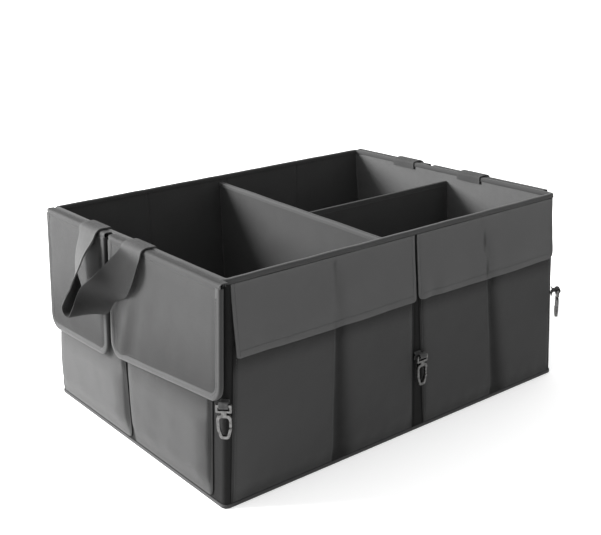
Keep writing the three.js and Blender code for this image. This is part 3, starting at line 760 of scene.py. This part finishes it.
def add_cover(name):
    """A cover sewn below the bound rim, hemmed, hanging a little proud of the pocket mouths."""
    body = f"{name}_cover_body"
    low, high = COVERS[name]
    foot, top = COVER_FOOT, HEIGHT - RIM_TAPE - 0.6
    heights = spread(foot, top, 4.5, (foot, foot + 11), (0.8, 2))
    t = spread(0, 1, 0.016, (0, 1), (0.002, 0.005))
    z = np.repeat(heights[:, None], len(t), 1)
    lift = rounded(np.minimum(t, 1 - t) * (high - low), COVER_CORNER[name])
    share = (top - z) / (top - foot)
    z = top - share * (top - foot - lift[None, :])
    sag = 1.6 * np.sin(math.pi * t)[None, :] * share + 0.8 * waves(t * 300, t * 0, 130, 5)[None, :] * share
    z = z - np.where(share > 0, sag * share, 0) * 0.6
    x = low + (high - low) * t[None, :] + 0 * z
    seam = between(GROUPS[name]["seam"], z)
    rise, hollow = ridge(x, seam, z)
    inside = step(np.minimum(x - low, high - x), 6)
    out = 1.6 + 5.6 * step(share, 1.05) + 1.1 * rise * inside * share - 0.7 * hollow * inside * share
    out = out + share * (0.55 * waves(x, z, 95, 61 + len(name)) + 0.25 * waves(x, z, 30, 71))
    if name == "far":
        out = out + 1.2 * dip(x - low - 22, 26) * dip(z - foot, 22) * np.sin((x - low) / 6.5)
    points = np.stack([x, -FACE - out, z], -1)
    # Painted shade: the fold values darken the cover in a soft band and a thin line just past the seam.
    fold = 0.3 * dip(x - seam - 8, 8) * step(x - seam, 3) * step(share, 0.6)
    fold = fold + 0.8 * dip(x - seam - 1.5, 1.3) * step(share, 0.1)
    piece = cloth_sheet(f"{name}_cover_cloth", points, 1.1, fold=fold)
    dress(piece, body, "outer_fabric", "cover", f"{name}_cover")
    row = int(np.argmin(np.abs(heights - foot - 9)))
    lines = (points[row, 3:-3], points[2:, 3], points[2:, -4])
    stitches(f"{name}_cover_stitches", [(line, same((0, -1, 0.05), len(line))) for line in lines], body)


# Ends
def end_directions(side, local):
    """From an end's own frame (outward, y, up along the wall) to directions in the row frame."""
    local = np.asarray(local, float)
    x = local[..., 0] * math.cos(ALPHA) - local[..., 2] * math.sin(ALPHA)
    z = local[..., 0] * math.sin(ALPHA) + local[..., 2] * math.cos(ALPHA)
    return np.stack([side * x, local[..., 1], z], -1)


def end_points(side, local):
    """The same for points, whose heights are counted from the rim."""
    return end_directions(side, local) + [side * RIM_X, 0, HEIGHT]


def end_grid(side, values):
    """A grid on an end, put in the order that makes its outer face look outward."""
    return (values[:, ::-1] if side < 0 else values)[::-1]


def flap_bottom(size, y):
    """How far below the rim a flap's lower edge is at y, its two corners rounded."""
    low, high, drop_low, drop_high = size
    base = drop_low + (drop_high - drop_low) * (y - low) / (high - low)
    return base - rounded(np.minimum(y - low, high - y), FLAP_RADIUS)


def flap_outline(size, inset):
    """The free edge of a flap as (y, z, ny, nz) rows, from one top corner round to the other."""
    low, high, drop_low, drop_high = size
    low, high = low + inset, high - inset
    drop_low, drop_high, radius = drop_low - inset, drop_high - inset, FLAP_RADIUS - inset
    slope = math.atan2(drop_low - drop_high, high - low)

    def corner(y, z, angles):
        turns = [(math.cos(a), math.sin(a)) for a in angles]
        return [[y + radius * c, z + radius * s, c, s] for c, s in turns]

    rows = [[low, z, -1, 0] for z in np.linspace(-7, -drop_low + radius, 22)[:-1]]
    rows += corner(low + radius, -drop_low + radius, np.linspace(math.pi, 1.5 * math.pi + slope, 9)[:-1])
    a, b = rows[-1][:2], (high - radius, -drop_high)
    for t in np.linspace(0, 1, 28)[1:-1]:
        rows.append([a[0] + (b[0] - a[0]) * t, a[1] + (b[1] - a[1]) * t, math.sin(slope), -math.cos(slope)])
    rows += corner(high - radius, -drop_high + radius, np.linspace(1.5 * math.pi + slope, 2 * math.pi, 9))
    rows += [[high, z, 1, 0] for z in np.linspace(-drop_high + radius, -7, 22)[1:]]
    return np.array(rows)


def add_flap(end, side, row):
    """A flap's outer cloth, folded over the rim, and its backing."""
    size = FLAPS[end][row]
    low, high = size[:2]
    name, body = f"{end}_{row}_flap", f"{end}_{row}_flap_body"
    seed = 80 + (row == "rear") * 7 + (end == "far") * 13
    edge = FLAP_RADIUS
    y = np.unique(np.concatenate([
        low + edge * (1 - np.cos(np.linspace(0, math.pi / 2, 9))),
        np.linspace(low + edge, high - edge, int((high - low) / 7)),
        high - edge * (1 - np.cos(np.linspace(0, math.pi / 2, 9))),
    ]))
    bottom = flap_bottom(size, y)
    share = np.concatenate([np.linspace(0, 0.05, 4)[:-1], np.linspace(0.05, 1, 34)])
    gy = np.repeat(y[None, :], len(share), 0)

    def depths(first):
        return share[:, None] * (bottom[None, :] - first) + first

    depth = depths(FLAP_BEND)
    near = np.minimum(np.minimum(gy - low, high - gy), bottom[None, :] - depth)
    puff = step(near, 16) * step(depth - 3, 22)
    swell = puff * (0.9 + 0.5 * waves(gy, depth, 150, seed) + 0.18 * waves(gy, depth, 40, seed + 1))
    if row == "front":
        line = STRAPS[end]["front"] - 12 + 0.32 * depth
        crease = 2.2 * dip(gy - line, 11) - 1.3 * dip(gy - line + 24, 13)
        swell = swell + puff * step(depth - 52, 50) * crease
    channel = 0.35 * dip(near - 10.5, 1.6) * step(depth - 8, 6)
    face = np.stack([FLAP_OUT + swell - channel - 0.8 * (1 - step(near, 2.4)), gy, -depth], -1)
    arc = np.linspace(0, math.pi / 2, 7)[:-1, None]
    root, bend = TAPED + GAP, FLAP_OUT - FLAP_BEND
    out = np.concatenate([[[root], [(root + bend) / 2]], bend + FLAP_BEND * np.sin(arc)])
    down = np.concatenate([[[GAP], [GAP]], GAP + FLAP_BEND * (1 - np.cos(arc))])
    over = np.stack(np.broadcast_arrays(out, y[None, :], 0.1 * waves(y, y * 0, 55, seed + 3) - down), -1)
    points = end_grid(side, end_points(side, np.concatenate([over, face])))
    # Painted shade: the fold values darken the flap's cloth towards its lower edge. Its wide pale edges (edge
    # width 5) are partly wear and partly a painted highlight along the fold over the rim.
    fold = end_grid(side, np.concatenate([np.zeros(over.shape[:2]), 0.5 * step(depth - 50, 130)]))
    front = cloth_sheet(f"{name}_cloth", points, 1.0, edge_width=5, fold=fold)
    dress(front, body, "flap_fabric", "flap", name)

    depth = depths(3.6)
    inner = np.stack([FLAP_IN + 0.15 * waves(gy, depth, 60, seed + 5), gy, -depth], -1)
    backing = cloth_sheet(f"{name}_backing", end_grid(-side, end_points(side, inner)), 0.8)
    dress(backing, body, "flap_fabric", "outer")
    add_flap_tape(name, side, size, body)


def add_flap_tape(name, side, size, body):
    """The tape bound round a flap's free edge, and the flap's stitches."""
    outward = end_directions(side, [1.0, 0, 0])

    def edge_line(inset, height):
        outline = flap_outline(size, inset)
        path = np.stack([np.full(len(outline), height), outline[:, 0], outline[:, 1]], 1)
        across = np.stack([np.zeros(len(outline)), outline[:, 2], outline[:, 3]], 1)
        return end_points(side, path), end_directions(side, across)

    path, across = edge_line(0, 0.0)
    a, b = FLAP_IN - 0.9, FLAP_OUT + 0.9
    profile = [
        (-9, b - 0.9), (-9, b - 0.5), (-8.4, b - 0.3), (-4, b), (-0.8, b - 0.05), (0.5, b - 0.9),
        (1.05, b - 2.4), (1.05, a + 2.4), (0.5, a + 0.9), (-0.8, a + 0.05), (-8.4, a), (-9, a + 0.2),
        (-9, a + 0.8), (-0.6, a + 1.2), (0.3, a + 2.6), (0.3, b - 2.6), (-0.6, b - 1.2),
    ]
    wear = np.array([0.2, 0.2, 0.1, 0, 0.1, 0.3, 0.2, 0.2, 0.3, 0.1, 0, 0.1, 0.2, 0, 0, 0, 0])
    tape = swept(f"{name}_tape", path, across, same(outward, len(path)), profile, wear)
    dress(tape, body, "binding_tape", "flap_tape", f"{name}_binding")
    lines = [edge_line(inset, height)[0][2:-2] for inset, height in ((6.6, b + 0.1), (11.5, FLAP_OUT + 0.1))]
    runs = [(line, same(outward, len(line))) for line in lines]
    straight = np.linspace(size[0] + 3, size[1] - 3, 30)
    line = np.stack([np.full(30, FLAP_OUT + 0.35), straight, np.full(30, -9.5)], 1)
    runs.append((end_points(side, line), same(end_directions(side, [1.0, 0, 0.1]), 30)))
    stitches(f"{name}_stitches", runs, body)


def add_flap_turn(end, side, row):
    """The cloth under a flap's fold, sewn to the rim and to the flap."""
    low, high = FLAPS[end][row][0] + 3, FLAPS[end][row][1] - 3
    root, head, crown, leg = TAPED + 0.5, FLAP_IN - 1.3, 1.75, 4.5
    t = np.linspace(0, 1, 29)[:, None]
    y = np.linspace(low, high, int((high - low + 6) / 6))
    out, down = root + (head - root) * t, -crown - leg * np.abs(2 * t - 1) ** 3
    local = np.stack(np.broadcast_arrays(out, y[None, :], down), -1)
    piece = cloth_sheet(f"{end}_{row}_flap_turn", end_grid(side, end_points(side, local)), 0.7)
    paint(piece, "flap")
    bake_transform(piece)


def add_end_pocket(end, side, row):
    """A pocket that lies flat under its flap and bulges below the flap's edge."""
    top, foot = END_POCKET_TOP, END_POCKET_FOOT
    low_top, low_foot, high_top, high_foot, bulge_top = END_POCKETS[row]
    name = f"{end}_{row}_pocket"
    depth = spread(top, foot, 5)
    t = spread(0, 1, 0.035, (0, 1), (0.006, 0.014, 0.028, 0.045))
    d = np.repeat(depth[:, None], len(t), 1)
    share = (d - top) / (foot - top)
    low = low_top + (low_foot - low_top) * share
    high = high_top + (high_foot - high_top) * share
    y = low + (high - low) * t[None, :]
    near = np.minimum(y - low, high - y)
    cut = rounded(near, END_POCKET_CORNER)
    d = top + share * (foot - cut - top)
    inside = step(near, 9)
    shut = step((foot - cut - d) / 34, 1)
    seed = 120 + len(name)
    bulge = 6.2 * step(d - bulge_top, 20) * step(near, 26)
    relief = 0.6 * waves(y, d, 120, seed) + 0.3 * waves(y, d, 38, seed + 1)
    sag = 0.7 * waves(y, d * 0.25, 60, seed + 2) * step(d - bulge_top, 30)
    out = 1.7 + inside * shut * (3.4 + relief + bulge + sag)
    out = np.clip(out, 1.3, np.where(d < bulge_top, 6.3, 12.5))
    points = end_points(side, np.stack([out, y, -d], -1))
    # Painted shade: the fold values darken the pocket along its sides and in a band above where the bulge
    # begins, and the front pocket is painted darker all over.
    fold = 0.9 * (1 - step(near, 9)) + 0.5 * (1 - step(d - bulge_top + 12, 26)) * step(d - 130, 20)
    fold = fold + (0.3 if row == "front" else 0.0)
    piece = cloth_sheet(f"{name}_cloth", end_grid(side, points), 1.0, fold=end_grid(side, fold))
    dress(piece, "tub", "pocket_fabric", "end_pocket", name)
    cut = (0.001 * float((high - low).mean()) * 1.04, END_POCKET_CUT)
    normal = same(end_directions(side, [1.0, 0, 0]), len(points) - 3)
    stitches(f"{name}_stitches", [(points[:-3, c], normal) for c in (3, -4)], "tub")


def handle_line(end):
    """Stations of the strap loop in the end's frame: x, y, z and the band's turn in degrees."""
    rear, front, face = STRAPS[end]["rear"], STRAPS[end]["front"], FLAP_OUT + TAPED + GAP + 1.0
    start, centre = 1.1, STRAP_SEAT + 1.0
    hanging = [
        (face + out * LOOP_REACH[end], front + share * (rear - front), -down * LOOP_DROP, turn)
        for out, share, down, turn in (
            (0.48, 1.016, 0.27, 15), (0.72, 1.025, 0.45, 22), (0.88, 1.025, 0.62, 34), (0.96, 1.016, 0.8, 52),
            (1, 0.951, 0.95, 76), (1, 0.787, 1, 98), (0.92, 0.647, 0.9, 118), (0.82, 0.507, 0.69, 138),
            (0.62, 0.213, 0.47, 154), (0.38, 0.059, 0.26, 168),
        )
    ]
    return np.array([
        (start, rear, centre, 0), (face - 5, rear, centre - 0.4, 0), (face + 0.4, rear, centre - 4, 0),
        (face + 4, rear, -13, 6), *hanging, (face + 3.5, front + 0.8, -12, 178),
        (face + 0.4, front, centre - 4, 180), (face - 5, front, centre - 0.4, 180),
        (start, front, centre, 180),
    ], float)


def centripetal(stations, per_span):
    """A centripetal Catmull-Rom line through the stations, the turn carried along with it."""
    first, last = 2 * stations[0] - stations[1], 2 * stations[-1] - stations[-2]
    rows = np.concatenate([[first], stations, [last]])
    result = []
    for k in range(1, len(rows) - 2):
        p = rows[k - 1:k + 3]
        gaps = [max(np.linalg.norm(p[i + 1, :3] - p[i, :3]) ** 0.5, 1e-3) for i in range(3)]
        knots = np.cumsum([0, *gaps])

        def mixed(t, i, j, a, b):
            return ((knots[j] - t) * a + (t - knots[i]) * b) / (knots[j] - knots[i])

        for t in knots[1] + (knots[2] - knots[1]) * np.arange(per_span) / per_span:
            sides = [mixed(t, i, i + 1, p[i], p[i + 1]) for i in range(3)]
            halves = [mixed(t, i, i + 2, sides[i], sides[i + 1]) for i in range(2)]
            result.append(mixed(t, 1, 2, *halves))
    return np.array([*result, stations[-1]])


def add_handle(end, side):
    """The free loop of a carry strap, hanging in front of both flaps."""
    line = centripetal(handle_line(end), 6)
    path, angle = line[:, :3], np.radians(line[:, 3])
    tangent = unit(np.gradient(path, axis=0))
    across = np.stack([np.sin(angle), -np.cos(angle), np.zeros(len(angle))], 1)
    across = unit(across - tangent * (across * tangent).sum(1, keepdims=True))
    half = STRAP / 2
    profile = [(-half + 0.2, -0.9), (-half, 0), (-half + 0.2, 0.9)]
    profile += [(a, 1.0 + 0.12 * math.sin(a * 0.7)) for a in np.linspace(-half + 3, half - 3, 9)]
    profile += [(half - 0.2, 0.9), (half, 0), (half - 0.2, -0.9)]
    profile += [(a, -1.0) for a in np.linspace(half - 3, -half + 3, 9)]
    edge = np.array([1, 1, 1, 0.3, *[0] * 7, 0.3] * 2)
    # Painted shade: the fold values darken the strap over the bottom of its loop and most of its front leg.
    way = np.linspace(0, 1, len(path))
    piece = swept(
        f"{end}_handle_strap", end_points(side, path), end_directions(side, across),
        end_directions(side, np.cross(across, tangent)), profile, edge,
        fold=0.85 * step(way - 0.42, 0.12) * (1 - step(way - 0.8, 0.08)),
    )
    dress(piece, f"{end}_handle_body", "webbing", "webbing", f"{end}_handle")
    length = float(np.linalg.norm(np.diff(path, axis=0), axis=1).sum())


def add_strap_end(end, side, row):
    """The strap's sewn end: up the inside of the wall, over the rim tape."""
    inner, seat = -(WALL + TAPED + GAP), STRAP_SEAT
    stations = [(inner - 1.0, -10.0), (inner - 1.0, -6.0), (inner - 1.0, -2.0)]
    for a in np.linspace(0.2, 1.5, 5):
        stations.append((inner + 1.4 - 2.4 * math.cos(a), seat - 1.4 + 2.4 * math.sin(a)))
    stations += [(-3.0, seat + 1.0), (-1.0, seat + 1.0), (0.8, seat + 1.0)]
    path = np.array([(x, STRAPS[end][row], z) for x, z in stations])
    across = same((0, -1, 0), len(path))
    out = np.cross(across, unit(np.gradient(path, axis=0)))
    half = STRAP / 2
    profile = [
        (-half + 0.2, -0.9), (-half, 0), (-half + 0.2, 0.9), (-half + 3, 1.0), (0, 1.05), (half - 3, 1.0),
        (half - 0.2, 0.9), (half, 0), (half - 0.2, -0.9), (half - 3, -0.98), (0, -0.98), (-half + 3, -0.98),
    ]
    name = f"{end}_{row}_strap_end"
    piece = swept(
        f"{name}_strap", end_points(side, path), end_directions(side, across),
        end_directions(side, out), profile, np.array([1, 1, 1, 0.2, 0, 0.2] * 2),
    )
    dress(piece, "tub", "webbing", "webbing", name)


def add_hook(name, x, y, z, turn):
    """A webbing tab folded through the hook's eye and sewn to the wall."""
    radius, half, back = 3.8, 6.0, 10.1
    stations = [(back - 0.7, -8.0), (back - 0.8, -5.5), (back - 1.2, -3.2), (back - 2.8, -1.1), (4.4, -0.75)]
    for a in np.linspace(-0.25, -2 * math.pi + 0.25, 26):
        stations.append((radius * math.cos(a), radius * math.sin(a)))
    stations += [(4.4, 0.75), (back - 2.8, 1.1), (back - 1.2, 2.6), (back - 0.8, 4.0)]
    path = np.array([(x - s * math.sin(turn), y + s * math.cos(turn), z + up) for s, up in stations])
    across = same((math.cos(turn), math.sin(turn), 0), len(path))
    out = np.cross(across, unit(np.gradient(path, axis=0)))
    profile = [
        (-half, 0), (-half + 0.3, 0.6), (0, 0.68), (half - 0.3, 0.6),
        (half, 0), (half - 0.3, -0.6), (0, -0.68), (-half + 0.3, -0.6),
    ]
    piece = swept(f"{name}_tab_webbing", path, across, out, profile, np.array([1, 0.7, 0, 0.7] * 2))
    dress(piece, "tub", "webbing", "webbing", f"{name}_tab")


# Carried-over solids
def finish_solids():
    """Materials for the boards and hooks, which show the frame's own solids."""
    for name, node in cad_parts.items():
        if name.endswith("board") or "_board_" in name:
            paint(node, "board")
        elif name in HOOKS or name.endswith("_gate"):
            paint(node, "metal")
            bevel = node.modifiers.new("soft_edges", "BEVEL")
            bevel.width, bevel.segments, bevel.limit_method = 0.0006, 3, "ANGLE"


# Floor and light
def area_light(name, place, target, size, power):
    """A round lamp that faces its target."""
    data = bpy.data.lights.new(name, "AREA")
    data.shape, data.size, data.energy = "DISK", size, power
    light = bpy.data.objects.new(name, data)
    light.location = place
    light.rotation_euler = (Vector(target) - Vector(place)).to_track_quat("-Z", "Y").to_euler()
    bpy.context.scene.collection.objects.link(light)


def add_studio():
    """A pale floor, an even sky and one soft lamp."""
    scene = bpy.context.scene
    mesh = bpy.data.meshes.new("studio_floor")
    half, low = 40.0, -0.0005
    corners = [(-half, -half, low), (half, -half, low), (half, half, low), (-half, half, low)]
    mesh.from_pydata(corners, [], [(0, 1, 2, 3)])
    floor = bpy.data.objects.new("studio_floor", mesh)
    scene.collection.objects.link(floor)
    n = Nodes("pale_floor")
    n.set("Base Color", grey(0.96))
    n.set("Roughness", 0.9)
    n.set("Emission Color", (1, 1, 1, 1))
    n.set("Emission Strength", 0.3)
    mesh.materials.append(n.material)
    world = bpy.data.worlds.new("studio")
    world.use_nodes = True
    background = world.node_tree.nodes["Background"]
    background.inputs["Color"].default_value = (1, 1, 1, 1)
    background.inputs["Strength"].default_value = 1.02
    scene.world = world
    area_light("key", place=(-2.22, 1.78, 1.25), target=(-0.2, 0, 0.15), size=1.3, power=330)
    scene.view_settings.view_transform = "Standard"


add_camera()
add_tub()
add_tapes()
add_dividers()
for group_name in GROUPS:
    add_front_pockets(group_name)
    add_cover(group_name)
for end_name, end_side in (("near", -1), ("far", 1)):
    for row_name in ("rear", "front"):
        add_flap(end_name, end_side, row_name)
        add_flap_turn(end_name, end_side, row_name)
        add_end_pocket(end_name, end_side, row_name)
        add_strap_end(end_name, end_side, row_name)
    add_handle(end_name, end_side)
for hook_name, placing in HOOKS.items():
    add_hook(hook_name, *placing)
finish_solids()
add_studio()
